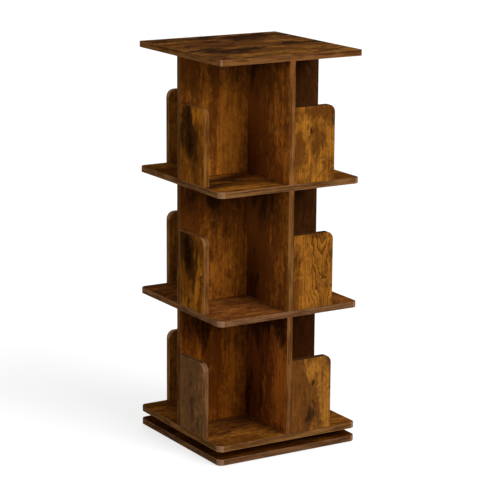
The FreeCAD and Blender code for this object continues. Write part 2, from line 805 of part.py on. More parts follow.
def tier_cam_places(floor):
    """Every cam lock of one tier: the long upright's, the short ones' and the dividers'."""
    low = floor + size.cam_reach
    high = floor + size.tier_height - size.cam_reach
    places = []
    for arm in (size.bolt_arm, -size.bolt_arm):
        places.append(((arm, ZERO, low), facing(Y, -Z)))
        places.append(((arm, ZERO, high), facing(Y, Z)))
    inner = -half_upright - size.cam_reach
    short = [(-size.bolt_arm, low, -Z), (-size.bolt_arm, high, Z)]
    short += [(inner, floor + level, Y) for level in cross_bolts]
    for degrees in (0, 180):
        for y, z, edge in short:
            places.append((turned_spot(ZERO, y, degrees) + (z,), about_z(degrees) * facing(X, edge)))
    for degrees in (0, 90, 180, 270):
        spot = turned_spot(half_upright + size.cam_reach, -divider_line, degrees)
        for height in divider_bolts:
            places.append((spot + (floor + height,), about_z(degrees) * facing(Y, -X)))
    return places


def divider_places(floor, heights):
    """Places in the four dividers' butt joints, with +Z along each divider."""
    places = []
    for degrees in (0, 90, 180, 270):
        spot = turned_spot(half_upright, -divider_line, degrees)
        for height in heights:
            places.append((spot + (floor + height,), about_z(degrees) * ALONG_X))
    return places


def make_fixings():
    single = make_single_bolt()
    through_shelf = make_double_bolt("shelf_bolt_template", size.shelf_thickness)
    through_upright = make_double_bolt("cross_bolt_template", size.upright_thickness)
    cam = make_cam()
    cap = make_cap()
    blind = make_dowel("blind_dowel_template", -size.dowel_seat, size.dowel_reach)
    reach = size.shelf_thickness / 2 + size.dowel_reach
    shelf_dowel = make_dowel("shelf_dowel_template", -reach, reach)
    reach = half_upright + size.dowel_reach
    cross_dowel = make_dowel("cross_dowel_template", -reach, reach)

    # Between the shelves and the uprights
    for label, level, turned, bolt, dowel in (
        ("bottom_shelf", tier_floors[0], UP, single, blind),
        ("lower_shelf", shelf_bottoms[1] + size.shelf_thickness / 2, UP, through_shelf, shelf_dowel),
        ("upper_shelf", shelf_bottoms[2] + size.shelf_thickness / 2, UP, through_shelf, shelf_dowel),
        ("top_panel", shelf_bottoms[3], DOWN, single, blind),
    ):
        copies(label + "_bolts", [(bolt, [((x, y, level), turned) for x, y in bolt_spots])])
        copies(label + "_dowels", [(dowel, [((x, y, level), turned) for x, y in dowel_spots])])

    # Inside each tier
    for label, floor in zip(("lower", "middle", "upper"), tier_floors):
        cams = tier_cam_places(floor)
        copies(label + "_cam_locks", [(cam, cams)])
        copies(label + "_cam_caps", [(cap, cams)])
        cross = [((ZERO, ZERO, floor + height), ALONG_Y) for height in cross_bolts]
        arms = divider_places(floor, divider_bolts)
        copies(label + "_tier_bolts", [(through_upright, cross), (single, arms)])
        cross = [((ZERO, ZERO, floor + height), ALONG_Y) for height in cross_dowels]
        arms = divider_places(floor, divider_dowels)
        feet = [((x, y, floor), UP) for x, y in foot_spots]
        copies(label + "_tier_dowels", [(cross_dowel, cross), (blind, arms + feet)])


def make_tier(label, floor):
    make_long_upright(label + "_long_upright", floor)
    make_short_upright(label + "_front_upright", floor, 0)
    make_short_upright(label + "_back_upright", floor, 180)
    for side, degrees in (("front", 0), ("right", 90), ("back", 180), ("left", 270)):
        make_divider("%s_%s_divider" % (label, side), floor, degrees)


def build():
    make_pads()
    make_base()
    make_swivel_plate("swivel_lower_plate", base_top, flip=False)
    make_swivel_plate("swivel_upper_plate", shelf_bottoms[0], flip=True)
    make_cage()
    make_balls()
    make_rivet()
    make_swivel_screws(make_screw())
    make_bottom_shelf()
    make_middle_shelf("lower_shelf", shelf_bottoms[1])
    make_middle_shelf("upper_shelf", shelf_bottoms[2])
    make_top_panel()
    for label, floor in zip(("lower", "middle", "upper"), tier_floors):
        make_tier(label, floor)
    make_fixings()


def write_parts():
    """Checks every object and writes each sub-part to its own file."""
    doc.recompute()
    for item in doc.Objects:
        if "Invalid" in item.State or "Error" in item.State:
            raise RuntimeError("%s did not rebuild" % item.Label)
    parts = [item for item in doc.Objects
             if item.TypeId in ("PartDesign::Body", "Part::Compound")
             and not item.Label.endswith("_template")]
    os.makedirs("parts", exist_ok=True)
    for item in parts:
        if item.Shape.isNull() or not item.Shape.isValid():
            raise RuntimeError("%s has no valid shape" % item.Label)
    for item in parts:
        item.Shape.exportStep("parts/%s.step" % item.Label)
        print("%-24s %3d solids %12.1f mm3" % (item.Label, len(item.Shape.Solids), item.Shape.Volume))
    print(len(parts), "sub-parts")


build()
write_parts()
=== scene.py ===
"""Finishes of a revolving bookcase in rustic brown board, with its studio stage."""

import math

import bpy
from bpy.props import FloatProperty, FloatVectorProperty, PointerProperty
from bpy.types import Operator, Panel, PropertyGroup
from mathutils import Matrix, Vector


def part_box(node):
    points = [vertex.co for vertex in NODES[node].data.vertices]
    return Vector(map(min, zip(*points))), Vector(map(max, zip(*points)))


bl_info = {
    "name": "Revolving bookcase finishes",
    "version": (1, 0, 0),
    "blender": (4, 5, 0),
    "location": "3D View > Sidebar > Bookcase",
    "description": "Finishes the pieces of a revolving bookcase and sets up its stage",
    "category": "Material",
}

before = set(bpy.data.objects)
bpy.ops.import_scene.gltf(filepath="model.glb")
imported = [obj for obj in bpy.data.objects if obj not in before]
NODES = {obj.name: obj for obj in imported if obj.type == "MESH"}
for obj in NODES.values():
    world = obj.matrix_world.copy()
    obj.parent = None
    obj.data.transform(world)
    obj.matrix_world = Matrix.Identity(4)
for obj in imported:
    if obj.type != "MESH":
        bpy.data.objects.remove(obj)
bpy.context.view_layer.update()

TIERS = ("upper", "middle", "lower")
GRAIN_X, GRAIN_Z = 0, 2  # the axis that a board's grain runs along

# Lengths in metres
SHELF_CORNER = 0.015
TOP_CORNER = 0.006
DIVIDER_CORNER = 0.020
PLATE_RELIEF = 0.00003
MOULDED_RELIEF = 0.00002
BEECH_RELIEF = 0.00005
TURNOVER = 0.0001  # half the width of the soft change from one side of a board's middle to the other

# How the print, the seam and the wear vary
OTHER_FACE = 37.0  # the seed's change from one face of a board to the other
NEXT_SPOT = 1.7  # the seed's change from one spot to the next
ROUGH_SPAN = 0.5  # how far the print moves the roughness about its setting
SEAM_SHADE = 0.25  # how much darker the seam beside the banding is
GRIME_SPAN = 0.2  # how far handling varies a board's lightness
DULL = 0.3  # specular level of plastic, rubber and bare wood

# Stage
SENSOR_WIDTH = 36.0  # millimetres
CLIP_NEAR, CLIP_FAR = 0.1, 100.0
LAMP_DISTANCE = 3.0
FULL_SUN = math.pi  # the sun strength that lights a white face to white


# Settings that a user would change

def colour(name, description, default):
    """A colour setting, in linear light."""
    return FloatVectorProperty(
        name=name, description=description, default=default, subtype="COLOR", min=0, max=1, size=3,
    )


def length(name, description, default):
    """A length setting, in metres."""
    return FloatProperty(
        name=name, description=description, default=default,
        subtype="DISTANCE", unit="LENGTH", precision=4,
    )


def angle(name, description, default):
    """An angle setting, in radians."""
    return FloatProperty(name=name, description=description, default=default, subtype="ANGLE")


def share(name, description, default, high=1):
    """A setting without a unit, from 0 up."""
    return FloatProperty(name=name, description=description, default=default, min=0, max=high)


class BoardPrint(PropertyGroup):
    """The wood print of the boards' faces."""

    amber: colour("Amber", "Light amber of the print's plain areas", (0.330, 0.124, 0.0150))
    brown: colour("Brown", "Middle brown of the print", (0.130, 0.043, 0.0068))
    dark: colour("Dark", "Dark brown of the print's stained areas", (0.032, 0.0120, 0.0040))
    crack: colour("Crack", "Near black of cracks and knots", (0.012, 0.0050, 0.0022))
    relief: length("Relief", "Depth of the pressed grain", 0.00008)
    roughness: share("Roughness", "Roughness of the satin face", 0.46)
    sheen_level: share("Specular level", "Strength of the satin reflection", 0.0)


class EdgeBand(PropertyGroup):
    """The banding on the boards' edges."""

    tone: colour("Tone", "Pinkish brown of the banding", (0.262, 0.112, 0.031))
    streak: colour("Streak", "Darker streaks along the banding", (0.100, 0.036, 0.0090))
    # Also the colour of the painted highlight on the rounded corners
    rubbed_and_highlight: colour("Rubbed And Highlight", "Lighter tone of rubbed corners", (0.44, 0.25, 0.145))
    thickness: length("Thickness", "Thickness of the banding", 0.0008)


class Fittings(PropertyGroup):
    """Metal, plastic, rubber and dowel wood."""

    zinc: colour("Zinc", "Bright zinc plate", (0.60, 0.62, 0.63))
    cast: colour("Cast zinc", "Die-cast cam locks", (0.46, 0.46, 0.47))
    steel: colour("Steel", "Polished balls", (0.72, 0.72, 0.74))
    cap: colour("Cap", "Brown cover caps", (0.105, 0.046, 0.0165))
    cage: colour("Cage", "Pale moulded ball cage", (0.62, 0.60, 0.54))
    beech: colour("Beech", "Bare dowel wood", (0.56, 0.36, 0.20))
    pad: colour("Pad", "Black rubber pads", (0.018, 0.018, 0.018))


class Studio(PropertyGroup):
    """Camera, lights and floor."""

    focal: FloatProperty(name="Focal length", description="Lens for a 36 mm wide sensor", default=148.0)
    eye: FloatVectorProperty(
        name="Eye", description="Where the camera stands", default=(-2.6235, -4.2853, 1.6653),
        subtype="TRANSLATION", unit="LENGTH", precision=4,
    )
    yaw: angle("Yaw", "Turn to the right of +Y", 0.5504)
    pitch: angle("Pitch", "Tilt below the horizon", 0.2317)
    roll: angle("Roll", "Turn about the line of sight", -0.0077)
    floor_half: length("Floor", "Half the side of the floor", 30.0)
    ambient: share("Ambient", "Light from all round, as a share of white", 0.16, 5)
    key: share("Key", "Light from the front right, as a share of white", 0.90, 5)
    fill: share("Fill", "Light from the left, as a share of white", 0.30, 5)
    rim: share("Back", "Light from behind, as a share of white", 0.32, 5)
    softness: angle("Softness", "Width of each light", 0.75)
    floor_tone: share("Floor tone", "How much light the floor throws back", 0.4)
    floor_lift: share("Floor lift", "What is added so that the lit floor is seen white", 0.72)


class BookcaseLook(PropertyGroup):
    """Every setting of the bookcase."""

    board: PointerProperty(type=BoardPrint)
    band: PointerProperty(type=EdgeBand)
    fittings: PointerProperty(type=Fittings)
    studio: PointerProperty(type=Studio)


# Shader arithmetic

class Field:
    """A value that varies over a surface. Arithmetic on it adds Math nodes to its tree."""

    def __init__(self, tree, socket):
        self.tree = tree
        self.socket = socket

    def math(self, operation, *values):
        node = self.tree.nodes.new("ShaderNodeMath")
        node.operation = operation
        for socket, value in zip(node.inputs, values):
            feed(self.tree, socket, value)
        return Field(self.tree, node.outputs[0])

    def __add__(self, other):
        return self.math("ADD", self, other)

    def __radd__(self, other):
        return self.math("ADD", other, self)

    def __sub__(self, other):
        return self.math("SUBTRACT", self, other)

    def __rsub__(self, other):
        return self.math("SUBTRACT", other, self)

    def __mul__(self, other):
        return self.math("MULTIPLY", self, other)

    def __truediv__(self, other):
        return self.math("DIVIDE", self, other)

    def __abs__(self):
        return self.math("ABSOLUTE", self)

    def min(self, other):
        return self.math("MINIMUM", self, other)

    def max(self, other):
        return self.math("MAXIMUM", self, other)

    def root(self):
        return self.math("SQRT", self)

    def fraction(self):
        return self.math("FRACT", self)

    def step(self, low, high):
        """0 below low and 1 above high, or the other way round, with a soft change between."""
        node = self.tree.nodes.new("ShaderNodeMapRange")
        node.interpolation_type = "SMOOTHSTEP"
        feed(self.tree, node.inputs["Value"], self)
        feed(self.tree, node.inputs["From Min"], low)
        feed(self.tree, node.inputs["From Max"], high)
        return Field(self.tree, node.outputs["Result"])


def feed(tree, socket, value):
    """Sets an input from a number or colour, or links it to another node's output."""
    value = value.socket if isinstance(value, Field) else value
    if isinstance(value, bpy.types.NodeSocket):
        tree.links.new(value, socket)
    elif hasattr(value, "__len__") and socket.type == "RGBA":
        socket.default_value = (*tuple(value)[:3], 1)
    else:
        socket.default_value = value


def place(tree, kind, **values):
    """Adds a node, with values for its inputs by name, and returns its first output."""
    node = tree.nodes.new("ShaderNode" + kind)
    for name, value in values.items():
        feed(tree, node.inputs[name], value)
    return Field(tree, node.outputs[0])


def vector(tree, x, y, z=0.0):
    """A vector from its three components."""
    return place(tree, "CombineXYZ", X=x, Y=y, Z=z)


def parts_of(tree, value):
    """The three components of a vector."""
    node = tree.nodes.new("ShaderNodeSeparateXYZ")
    feed(tree, node.inputs[0], value)
    return [Field(tree, socket) for socket in node.outputs]


def noise(tree, x, y, z=0.0, detail=2.0, roughness=0.5, distortion=0.0):
    """Cloudy noise from 0 to 1, over coordinates that already hold its scale."""
    return place(
        tree, "TexNoise", Vector=vector(tree, x, y, z), Scale=1.0,
        Detail=detail, Roughness=roughness, Distortion=distortion,
    )


def mix(tree, amount, first, second, blend="MIX"):
    """Blends two colours."""
    node = tree.nodes.new("ShaderNodeMix")
    node.data_type = "RGBA"
    node.blend_type = blend
    for index, value in ((0, amount), (6, first), (7, second)):
        feed(tree, node.inputs[index], value)
    return Field(tree, node.outputs[2])


def shade(tree, value, amount):
    """Multiplies a colour by a number that varies over the surface."""
    grey = place(tree, "CombineColor", Red=amount, Green=amount, Blue=amount)
    return mix(tree, 1.0, value, grey, "MULTIPLY")


def new_group(name, inputs, outputs):
    """A shader node group with named sockets; returns its tree, its inputs and its output node."""
    kinds = {"value": "NodeSocketFloat", "vector": "NodeSocketVector", "colour": "NodeSocketColor"}
    tree = bpy.data.node_groups.new(name, "ShaderNodeTree")
    for socket, kind in inputs:
        tree.interface.new_socket(socket, in_out="INPUT", socket_type=kinds[kind])
    for socket, kind in outputs:
        tree.interface.new_socket(socket, in_out="OUTPUT", socket_type=kinds[kind])
    entry = tree.nodes.new("NodeGroupInput")
    leave = tree.nodes.new("NodeGroupOutput")
    return tree, [Field(tree, entry.outputs[socket]) for socket, _ in inputs], leave


def use_group(tree, name, **values):
    """Places a group, and returns its outputs by name."""
    node = tree.nodes.new("ShaderNodeGroup")
    node.node_tree = bpy.data.node_groups[name]
    for socket, value in values.items():
        feed(tree, node.inputs[socket.replace("_", " ")], value)
    return {socket.name: Field(tree, socket) for socket in node.outputs}


# Effects that several finishes share

def make_rustic_print():
    """The print of old planks. Along and Across are metres from the middle of the board's face.

    Year rings are the level lines of a hyperbola that opens along the grain from the heart line,
    bent by slow noise: pointed arches near the heart, near straight lines beside them. Over them
    lie fine fibres, amber and brown areas, soft dark stains with darker hearts, small knots with
    a shaded ring, short cracks and faint saw marks across the grain. Stain, Shade and Figure are
    raised where the print has a dark stain, a brown area or strong arches. Bold sets how much the
    areas and stains stand out, and Tint multiplies the result.
    """
    tree, fields, leave = new_group(
        "Rustic print",
        [("Along", "value"), ("Across", "value"), ("Seed", "value"), ("Stain", "value"),
         ("Shade", "value"), ("Figure", "value"), ("Heart", "value"), ("Knots", "value"),
         ("Bold", "value"), ("Amber", "colour"), ("Brown", "colour"), ("Dark", "colour"),
         ("Crack", "colour"), ("Tint", "colour")],
        [("Color", "colour"), ("Rough", "value"), ("Height", "value")],
    )
    u, v, seed, stain, shading, figure, heart, knots, bold, amber, brown, dark, crack, tint = fields

    # Fibres, at four widths; feather frays the edges of areas and stains along them
    fibre = noise(tree, u * 16.0, v * 420.0, seed, 3.0, 0.62)
    streak = noise(tree, u * 7.0, v * 210.0, seed + 2.0, 2.0, 0.6)
    broad_fibre = noise(tree, u * 4.5, v * 92.0, seed + 3.0, 2.0, 0.55)
    pore = noise(tree, u * 40.0, v * 1300.0, seed + 5.0, 1.0, 0.5)
    feather = (fibre - 0.5) * 0.10 + (broad_fibre - 0.5) * 0.26

    # Small knots, longer along the grain
    cells = tree.nodes.new("ShaderNodeTexVoronoi")
    cells.voronoi_dimensions = "2D"
    bend = noise(tree, u * 5.0, v * 9.0, seed + 7.0, 2.0) - 0.5
    feed(tree, cells.inputs["Vector"], vector(tree, u * 12.0 + seed, (v + bend * 0.02) * 25.0 + seed))
    cells.inputs["Scale"].default_value = 1.0
    chance = parts_of(tree, cells.outputs["Color"])[0]
    knotty = (chance + knots).step(0.96, 1.14)
    distance = Field(tree, cells.outputs["Distance"]) + (fibre - 0.5) * 0.05
    ring_shade = distance.step(0.42, 0.06) * knotty
    core = distance.step(0.085, 0.03) * knotty

    # Year rings
    wander = noise(tree, u * 2.0, 0.0, seed + 9.0, 1.0) - 0.5
    aside = v + bend * 0.030 + wander * 0.03 - heart
    spread = aside * aside + 0.000012
    arch = spread.root() * 4.8 - u
    crooked = noise(tree, u * 15.0, v * 34.0, seed + 10.0, 3.0) - 0.5
    phase = arch * 20.0 + bend * 2.6 + crooked * 4.2 + ring_shade * 0.8 + (streak - 0.5) * 0.3
    saw = phase.fraction()
    shown = abs(aside).step(0.050, 0.022) * figure
    ring = saw.step(0.50, 0.88) * saw.step(1.0, 0.94) * shown
    early = saw.step(0.34, 0.04) * shown

    # Amber and brown areas, mottled
    patch = noise(tree, u * 8.0, v * 17.0, seed + 17.0, 5.0, 0.60, 0.4) - 0.5
    patch = patch * bold + 0.5 + feather * 0.7
    mottle = noise(tree, u * 44.0, v * 74.0, seed + 18.0, 4.0, 0.62, 0.9)
    speckle = noise(tree, u * 120.0, v * 300.0, seed + 21.0, 3.0, 0.68)
    amber_share = (patch + (mottle - 0.5) * 0.8 + (streak - 0.5) * 0.35 - shading).step(0.22, 0.72)

    # Dark stains, their hearts, and smudges
    cloud = noise(tree, u * 9.0, v * 22.0, seed + 19.0, 5.0, 0.64, 0.7) - 0.5
    cloud = cloud * bold * 1.3 + 0.5 + feather * 0.6
    stained = (cloud + stain).step(0.60, 0.92)
    deepest = (cloud + stain + (streak - 0.5) * 0.8).step(1.08, 1.62)
    smudge = noise(tree, u * 12.0, v * 40.0, seed + 23.0, 4.0, 0.66, 0.7)
    smudged = (smudge + feather * 0.5 + stain * 0.2).step(0.54, 0.80)

    # Cracks along the grain, flecks, and saw marks across it
    split = noise(tree, u * 8.0, (v + bend * 0.01) * 170.0, seed + 29.0, 2.0, 0.6)
    cracked = (split + (cloud - 0.5) * 0.30).step(0.71, 0.78)
    fleck = noise(tree, u * 34.0, v * 360.0, seed + 31.0, 1.0).step(0.64, 0.76)
    cut = noise(tree, u * 300.0 + v * 34.0, v * 7.0, seed + 37.0, 1.0).step(0.60, 0.74)
    cut = cut * noise(tree, u * 6.0, v * 10.0, seed + 41.0, 1.0).step(0.52, 0.66)

    # The colour: the areas first, then what lies over them
    face = mix(tree, amber_share, brown, amber)
    grain = fibre * 0.30 + streak * 0.62 + broad_fibre * 0.58
    face = shade(tree, face, grain + mottle * 0.62 + speckle * 0.66 - 0.37)
    face = shade(tree, face, 1.0 - speckle.step(0.44, 0.28) * 0.34)
    face = shade(tree, face, 1.0 + early * 0.16 - ring * 0.44)
    face = mix(tree, smudged * 0.46, face, dark)
    face = mix(tree, stained * (1.60 - mottle * 0.80 - streak * 0.60), face, dark)
    face = shade(tree, face, 1.0 - deepest * (1.0 - mottle * 0.8))
    face = shade(tree, face, 1.0 - fleck * 0.26 - cut * 0.14 - ring_shade * 0.30)
    dents = (cracked * 0.62).max(core * 0.70)
    face = mix(tree, dents, face, crack)
    face = mix(tree, 1.0, face, tint, "MULTIPLY")

    feed(tree, leave.inputs["Color"], face)
    feed(tree, leave.inputs["Rough"], 0.5 + (fibre - 0.5) * 0.5 + dents * 0.35 - stained * 0.12)
    pores = pore.step(0.58, 0.72)
    relief = 0.6 + (fibre - 0.5) * 0.5 - ring * 0.22 - dents * 0.5 - pores * 0.2 - cut * 0.18
    feed(tree, leave.inputs["Height"], relief)


def make_edge_band():
    """The banding's tone: streaks that run along the edge, whichever way it goes."""
    tree, fields, leave = new_group(
        "Edge band",
        [("Along", "value"), ("Across", "value"), ("Depth", "value"), ("Seed", "value"),
         ("Tone", "colour"), ("Streak", "colour"), ("Tint", "colour")],
        [("Color", "colour")],
    )
    along, across, depth, seed, tone, streak, tint = fields
    # Grows along every edge, and differs from edge to edge and from board to board
    run = along + across * 1.37 + seed * 3.11
    fine = noise(tree, run * 9.0, depth * 1500.0, seed, 3.0, 0.6)
    broad = noise(tree, run * 6.0, depth * 360.0, seed + 2.0, 3.0, 0.6, 0.4)
    blotch = noise(tree, run * 14.0, depth * 70.0, seed + 4.0, 4.0, 0.62)
    face = mix(tree, (broad + (blotch - 0.5) * 0.9).step(0.34, 0.66), tone, streak)
    face = shade(tree, face, 0.70 + fine * 0.6)
    feed(tree, leave.inputs["Color"], mix(tree, 1.0, face, tint, "MULTIPLY"))


def make_board_outline():
    """Where a point lies on a board. U, V and W are measured from the board's middle, W through it.

    The distance to the outline is that of a rectangle with rounded corners: the corner radius,
    less the length of what reaches past the corners' centres. Corner Side is 0 where all four
    corners are round; where only one is, it is 1 and U and V grow towards that corner.
    """
    tree, fields, leave = new_group(
        "Board outline",
        [("U", "value"), ("V", "value"), ("W", "value"), ("Half U", "value"), ("Half V", "value"),
         ("Half W", "value"), ("Radius", "value"), ("Corner Side", "value"), ("Band", "value"),
         ("Seed", "value")],
        [("Banded", "value"), ("Rubbed And Highlight", "value"), ("Seam", "value"), ("Grime", "value")],
    )
    u, v, w, half_u, half_v, half_w, radius, side, band, seed = fields
    here = u.step(-TURNOVER, TURNOVER) * v.step(-TURNOVER, TURNOVER)
    radius = radius * (1.0 - side + side * here)
    past_u = abs(u) - half_u + radius
    past_v = abs(v) - half_v + radius
    outside_u = past_u.max(0.0)
    outside_v = past_v.max(0.0)
    reach = outside_u * outside_u + outside_v * outside_v
    inside = past_u.max(past_v).min(0.0)
    margin = radius - reach.root() - inside
    depth = half_w - abs(w)

    # The banding, and the seam where it meets the board's face
    banded = margin.step(band, band * 0.75)
    seam = margin.step(band * 1.6, band * 1.1) * margin.step(band * 0.6, band)

    # Worn lighter up to 2 mm in from the arrises, in patches; on the rounded corners a broader,
    # stronger band that is a painted highlight
    arris = margin.max(depth)
    wear = noise(tree, u * 70.0, v * 70.0, w * 70.0 + seed, 3.0, 0.6)
    rubbed_and_highlight = arris.step(0.0020, 0.0004) * (wear.step(0.34, 0.66) * 0.24 + 0.06)
    # The rounded corners' arcs carry a painted highlight, where the curved edge would catch the light
    corner = past_u.min(past_v).step(0.0, 0.0022) * margin.step(0.0012, 0.0006)
    rubbed_and_highlight = rubbed_and_highlight.max(corner * (0.55 + wear * 0.5))
    grime = noise(tree, u * 24.0, v * 24.0, w * 24.0 + seed, 3.0, 0.65)
    feed(tree, leave.inputs["Banded"], banded)
    feed(tree, leave.inputs["Rubbed And Highlight"], rubbed_and_highlight.min(1.0))
    feed(tree, leave.inputs["Seam"], seam)
    feed(tree, leave.inputs["Grime"], grime)


def make_stain_spot():
    """A dark plank or stain of the print: an ellipse whose edge is feathered along the grain."""
    tree, fields, leave = new_group(
        "Stain spot",
        [("Along", "value"), ("Across", "value"), ("Place", "vector"), ("Size", "vector"),
         ("Seed", "value")],
        [("Amount", "value")],
    )
    along, across, spot, extent, seed = fields
    spot_u, spot_v, _ = parts_of(tree, spot)
    size_u, size_v, _ = parts_of(tree, extent)
    ragged = noise(tree, along * 18.0, across * 95.0, seed, 4.0, 0.62) - 0.5
    lumpy = noise(tree, along * 12.0, across * 34.0, seed + 5.0, 3.0, 0.6) - 0.5
    du = (along - spot_u) / size_u
    dv = (across - spot_v) / size_v
    spread = du * du + dv * dv
    feed(tree, leave.inputs["Amount"], (spread.root() + lumpy * 1.8 + ragged * 1.1).step(1.70, 0.0))


def make_zinc_plate():
    """Zinc plate: small flat crystals, brushed faintly, with dull specks."""
    tree, fields, leave = new_group(
        "Zinc plate",
        [("Vector", "vector"), ("Tone", "colour"), ("Grain", "value")],
        [("Color", "colour"), ("Rough", "value"), ("Height", "value")],
    )
    point, tone, grain = fields
    x, y, z = parts_of(tree, point)
    cells = tree.nodes.new("ShaderNodeTexVoronoi")
    feed(tree, cells.inputs["Vector"], point)
    feed(tree, cells.inputs["Scale"], grain)
    crystal = parts_of(tree, cells.outputs["Color"])[0]
    brushed = noise(tree, x * 900.0, y * 60.0, z * 60.0, 2.0)
    dull = noise(tree, x * 180.0, y * 180.0, z * 180.0, 4.0, 0.7).step(0.52, 0.78)
    face = shade(tree, tone, 0.82 + crystal * 0.22 + brushed * 0.08 - dull * 0.22)
    feed(tree, leave.inputs["Color"], face)
    feed(tree, leave.inputs["Rough"], 0.24 + crystal * 0.12 + dull * 0.3)
    feed(tree, leave.inputs["Height"], brushed * 0.5 - dull * 0.3)


def make_moulded():
    """Moulded plastic or rubber: a fine spark-eroded texture with dust."""
    tree, fields, leave = new_group(
        "Moulded",
        [("Vector", "vector"), ("Tone", "colour")],
        [("Color", "colour"), ("Rough", "value"), ("Height", "value")],
    )
    point, tone = fields
    x, y, z = parts_of(tree, point)
    fine = noise(tree, x * 2600.0, y * 2600.0, z * 2600.0, 2.0)
    cloud = noise(tree, x * 90.0, y * 90.0, z * 90.0, 4.0, 0.65)
    face = shade(tree, tone, 0.86 + fine * 0.12 + cloud * 0.18)
    feed(tree, leave.inputs["Color"], face)
    feed(tree, leave.inputs["Rough"], 0.44 + cloud * 0.22)
    feed(tree, leave.inputs["Height"], fine)


GROUPS = (
    make_rustic_print, make_edge_band, make_board_outline, make_stain_spot, make_zinc_plate,
    make_moulded,
)


# Finishes

def new_material(name):
    """An empty material; returns it with its tree, its shader and the object's own coordinates."""
    material = bpy.data.materials.new(name)
    material.use_nodes = True
    tree = material.node_tree
    shader = tree.nodes["Principled BSDF"]
    point = Field(tree, tree.nodes.new("ShaderNodeTexCoord").outputs["Object"])
    return material, tree, shader, point


def raise_relief(tree, shader, height, depth):
    """Turns a height from 0 to 1 into relief of that depth in metres."""
    bump = tree.nodes.new("ShaderNodeBump")
    bump.inputs["Strength"].default_value = 1.0
    bump.inputs["Distance"].default_value = depth
    feed(tree, bump.inputs["Height"], height)
    tree.links.new(bump.outputs["Normal"], shader.inputs["Normal"])


def finish_nodes(material, *names):
    """Gives CAD nodes one material."""
    for name in names:
        mesh = NODES[name].data
        mesh.materials.clear()
        mesh.materials.append(material)


def board_material(
    node, grain, seed, look, spots=(), stain=0.0, shading=0.0, figure=0.3, heart=0.0, knots=0.1,
    bold=1.3, tint=(1, 1, 1), band_tint=(1, 1, 1), wear=0.5, radius=0.0, free_corner=(0, 0),
):
    """The print, banding, worn edges and painted corner highlights of one board.

    Grain is the axis that the grain runs along. A spot raises the stain or shade of the print:
    which one, where its middle lies along and across the grain from the board's middle, how far
    it reaches each way, and how strong it is; below 0 it lowers them. Figure is how strong the
    rings' arches are, heart where they meet across the grain, and knots how many knots there are.
    Tint multiplies the print and band_tint the banding. The wear setting is how much the edges
    are worn lighter and how strong the painted highlight on the rounded corners is. Radius is that
    of the rounded corners, and a free corner gives the direction, across then along, of the only one.
    """
    low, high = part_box(node)
    middle, half = (low + high) / 2, (high - low) / 2
    through = min(range(3), key=lambda axis: half[axis])
    wide = 3 - grain - through
    material, tree, shader, point = new_material("Board " + node)
    axes = [field - middle[axis] for axis, field in enumerate(parts_of(tree, point))]
    along, across, depth = axes[grain], axes[wide], axes[through]
    face_seed = depth.step(-TURNOVER, TURNOVER) * OTHER_FACE + seed
    board, band = look.board, look.band

    raised = {"stain": stain, "shade": shading}
    for index, (kind, spot_u, spot_v, size_u, size_v, strength) in enumerate(spots):
        amount = use_group(
            tree, "Stain spot", Along=along, Across=across, Place=(spot_u, spot_v, 0),
            Size=(size_u, size_v, 1), Seed=seed + index * NEXT_SPOT,
        )["Amount"]
        raised[kind] = amount * strength + raised[kind]
    printed = use_group(
        tree, "Rustic print", Along=along, Across=across, Seed=face_seed, Stain=raised["stain"],
        Shade=raised["shade"], Figure=figure, Heart=heart, Knots=knots, Bold=bold,
        Amber=board.amber, Brown=board.brown, Dark=board.dark, Crack=board.crack, Tint=tint,
    )
    edge = use_group(
        tree, "Edge band", Along=along, Across=across, Depth=depth, Seed=seed, Tone=band.tone,
        Streak=band.streak, Tint=band_tint,
    )
    side = 1.0 if any(free_corner) else 0.0
    sign_v, sign_u = (value or 1 for value in free_corner)
    outline = use_group(
        tree, "Board outline", U=along * sign_u, V=across * sign_v, W=depth, Half_U=half[grain],
        Half_V=half[wide], Half_W=half[through], Radius=radius, Corner_Side=side,
        Band=band.thickness, Seed=seed,
    )
    face = mix(tree, outline["Banded"], printed["Color"], edge["Color"])
    face = shade(tree, face, 1.0 - outline["Seam"] * SEAM_SHADE)
    # Edges worn lighter, and a painted highlight on the rounded corners, in the banding's lighter
    # colour
    face = mix(tree, outline["Rubbed And Highlight"] * wear, face, band.rubbed_and_highlight)
    face = shade(tree, face, (1.0 - GRIME_SPAN / 2) + outline["Grime"] * GRIME_SPAN)
    feed(tree, shader.inputs["Base Color"], face)
    rough_low = board.roughness - ROUGH_SPAN / 2
    feed(tree, shader.inputs["Roughness"], rough_low + printed["Rough"] * ROUGH_SPAN)
    shader.inputs["Specular IOR Level"].default_value = board.sheen_level
    raise_relief(tree, shader, printed["Height"], board.relief)
    finish_nodes(material, node)


def plated_material(name, tone, grain, rough_shift=0.0):
    """Plated or polished metal. Grain is how fine its crystals are."""
    material, tree, shader, point = new_material(name)
    plate = use_group(tree, "Zinc plate", Vector=point, Tone=tone, Grain=grain)
    feed(tree, shader.inputs["Base Color"], plate["Color"])
    feed(tree, shader.inputs["Roughness"], plate["Rough"] + rough_shift)
    shader.inputs["Metallic"].default_value = 1.0
    raise_relief(tree, shader, plate["Height"], PLATE_RELIEF)
    return material


def moulded_material(name, tone, gloss=DULL):
    """Plastic or rubber. Gloss is its specular level."""
    material, tree, shader, point = new_material(name)
    moulded = use_group(tree, "Moulded", Vector=point, Tone=tone)
    feed(tree, shader.inputs["Base Color"], moulded["Color"])
    feed(tree, shader.inputs["Roughness"], moulded["Rough"])
    shader.inputs["Specular IOR Level"].default_value = gloss
    raise_relief(tree, shader, moulded["Height"], MOULDED_RELIEF)
    return material


# What differs between the boards that are seen most; spots are as board_material says

